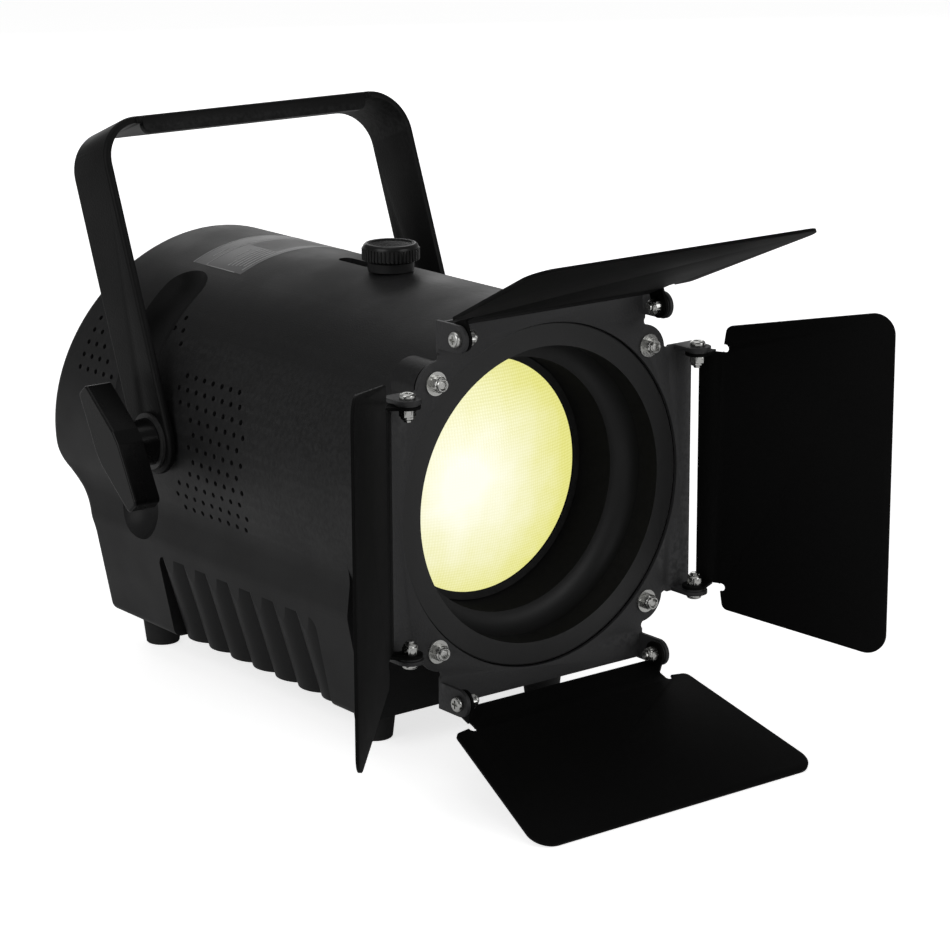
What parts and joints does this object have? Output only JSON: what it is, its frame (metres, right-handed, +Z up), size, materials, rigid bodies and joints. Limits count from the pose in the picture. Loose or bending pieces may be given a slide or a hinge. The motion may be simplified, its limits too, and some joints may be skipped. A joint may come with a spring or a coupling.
{
  "type": "fresnel spotlight",
  "caption": "Compact black lens spotlight: drum housing on a box base, sliding focus lens, square plate with hinged shading leaves, tilting yoke held by wing knobs",
  "frame": {"origin": "on the optical axis, at the front face of the bezel ring, which is the mouth of the front opening", "axes": "+Y runs along the optical axis to the rear, +Z up, +X to the right as seen from the front; light leaves along -Y"},
  "size_m": [0.2397, 0.3284, 0.2286],
  "materials": {
    "body_moulding": "satin black mould texture",
    "front_ring": "satin black, fine turned texture",
    "tube_plastic": "semi-matt black",
    "door_plate": "fine textured dark grey powder coat",
    "door_leaf": "matt black powder coat",
    "yoke_paint": "satin black powder coat",
    "gloss_knob": "gloss black moulding",
    "collar_plastic": "satin black",
    "zinc": "bright zinc plate",
    "steel": "plain steel",
    "black_screw": "black oxide",
    "washer_nylon": "black nylon",
    "brass_insert": "knurled brass",
    "lens_glass": "clear stippled glass",
    "led_yellow": "phosphor yellow",
    "led_white": "white board",
    "heatsink_alu": "plain aluminium",
    "fan_plastic": "black",
    "circuit": "green board with black parts",
    "rear_metal": "satin black sheet",
    "display": "dark gloss window",
    "button": "dark grey keys",
    "socket_black": "black",
    "foot_rubber": "black rubber"
  },
  "bodies": {
    "lamp_body": {"main_housing": "body_moulding", "front_bezel": "front_ring", "light_tube": "tube_plastic", "guide_rails": "steel", "stay_plate": "heatsink_alu", "heat_sink": "heatsink_alu", "led_board": "led_white", "led_emitter": "led_yellow", "fan_frame": "fan_plastic", "power_supply": "circuit", "control_board": "circuit", "rear_panel": "rear_metal", "display_window": "display", "data_socket_in": "socket_black", "data_socket_out": "socket_black", "power_inlet": "socket_black", "panel_screws": "black_screw", "rubber_feet": "foot_rubber", "foot_screws": "black_screw", "barndoor_plate": "door_plate", "corner_studs": "zinc", "corner_washers": "zinc", "corner_nuts": "zinc", "corner_spacers": "washer_nylon", "hinge_screws": "zinc", "hinge_nuts": "zinc", "hinge_washers": "washer_nylon", "left_pivot_washer": "washer_nylon", "right_pivot_washer": "washer_nylon", "left_pivot_insert": "brass_insert", "right_pivot_insert": "brass_insert"},
    "lens_carriage": {"lens_carriage": "tube_plastic", "lens": "lens_glass", "lens_retainer": "zinc", "focus_stud": "steel", "slot_cover": "tube_plastic", "knob_collar": "collar_plastic"},
    "focus_knob": {"focus_knob": "gloss_knob"},
    "fan_rotor": {"fan_rotor": "fan_plastic"},
    "yoke": {"yoke": "yoke_paint", "left_knob_washer": "zinc", "right_knob_washer": "zinc"},
    "left_wing_knob": {"left_wing_knob": "gloss_knob", "left_knob_stud": "steel"},
    "right_wing_knob": {"right_wing_knob": "gloss_knob", "right_knob_stud": "steel"},
    "top_door": {"top_door": "door_leaf"},
    "bottom_door": {"bottom_door": "door_leaf"},
    "left_door": {"left_door": "door_leaf"},
    "right_door": {"right_door": "door_leaf"},
    "menu_button_1": {"menu_button_1": "button"},
    "menu_button_2": {"menu_button_2": "button"},
    "menu_button_3": {"menu_button_3": "button"},
    "menu_button_4": {"menu_button_4": "button"}
  },
  "joints": [
    {"name": "top_door_hinge", "type": "hinge", "parent": "lamp_body", "child": "top_door", "pos_m": [0, -0.01227, 0.06884], "axis": [1, 0, 0], "range_deg": [-65.8, 84.2]},
    {"name": "bottom_door_hinge", "type": "hinge", "parent": "lamp_body", "child": "bottom_door", "pos_m": [0, -0.01227, -0.06884], "axis": [-1, 0, 0], "range_deg": [-70.3, 79.7]},
    {"name": "left_door_hinge", "type": "hinge", "parent": "lamp_body", "child": "left_door", "pos_m": [-0.0694, -0.00907, 0], "axis": [0, 0, 1], "range_deg": [-44.6, 45.4]},
    {"name": "right_door_hinge", "type": "hinge", "parent": "lamp_body", "child": "right_door", "pos_m": [0.0694, -0.00907, 0], "axis": [0, 0, -1], "range_deg": [-63.1, 26.9]},
    {"name": "yoke_tilt", "type": "hinge", "parent": "lamp_body", "child": "yoke", "pos_m": [0, 0.1547, 0.0027], "axis": [1, 0, 0], "range_deg": [-115, 66]},
    {"name": "left_knob_turn", "type": "hinge", "parent": "lamp_body", "child": "left_wing_knob", "pos_m": [-0.0763, 0.1547, 0.0027], "axis": [-1, 0, 0], "continuous": true},
    {"name": "right_knob_turn", "type": "hinge", "parent": "lamp_body", "child": "right_wing_knob", "pos_m": [0.0763, 0.1547, 0.0027], "axis": [1, 0, 0], "continuous": true},
    {"name": "lens_focus", "type": "slide", "parent": "lamp_body", "child": "lens_carriage", "axis": [0, 1, 0], "range_m": [0, 0.03]},
    {"name": "focus_knob_turn", "type": "hinge", "parent": "lens_carriage", "child": "focus_knob", "pos_m": [0, 0.0947, 0.078], "axis": [0, 0, 1], "continuous": true},
    {"name": "fan_spin", "type": "hinge", "parent": "lamp_body", "child": "fan_rotor", "pos_m": [0, 0.1637, 0], "axis": [0, 1, 0], "continuous": true},
    {"name": "menu_button_1_press", "type": "slide", "parent": "lamp_body", "child": "menu_button_1", "axis": [0, -0.9795, -0.2015], "range_m": [0, 0.001], "stiffness_N_per_m": 400},
    {"name": "menu_button_2_press", "type": "slide", "parent": "lamp_body", "child": "menu_button_2", "axis": [0, -0.9795, -0.2015], "range_m": [0, 0.001], "stiffness_N_per_m": 400},
    {"name": "menu_button_3_press", "type": "slide", "parent": "lamp_body", "child": "menu_button_3", "axis": [0, -0.9795, -0.2015], "range_m": [0, 0.001], "stiffness_N_per_m": 400},
    {"name": "menu_button_4_press", "type": "slide", "parent": "lamp_body", "child": "menu_button_4", "axis": [0, -0.9795, -0.2015], "range_m": [0, 0.001], "stiffness_N_per_m": 400}
  ]
}
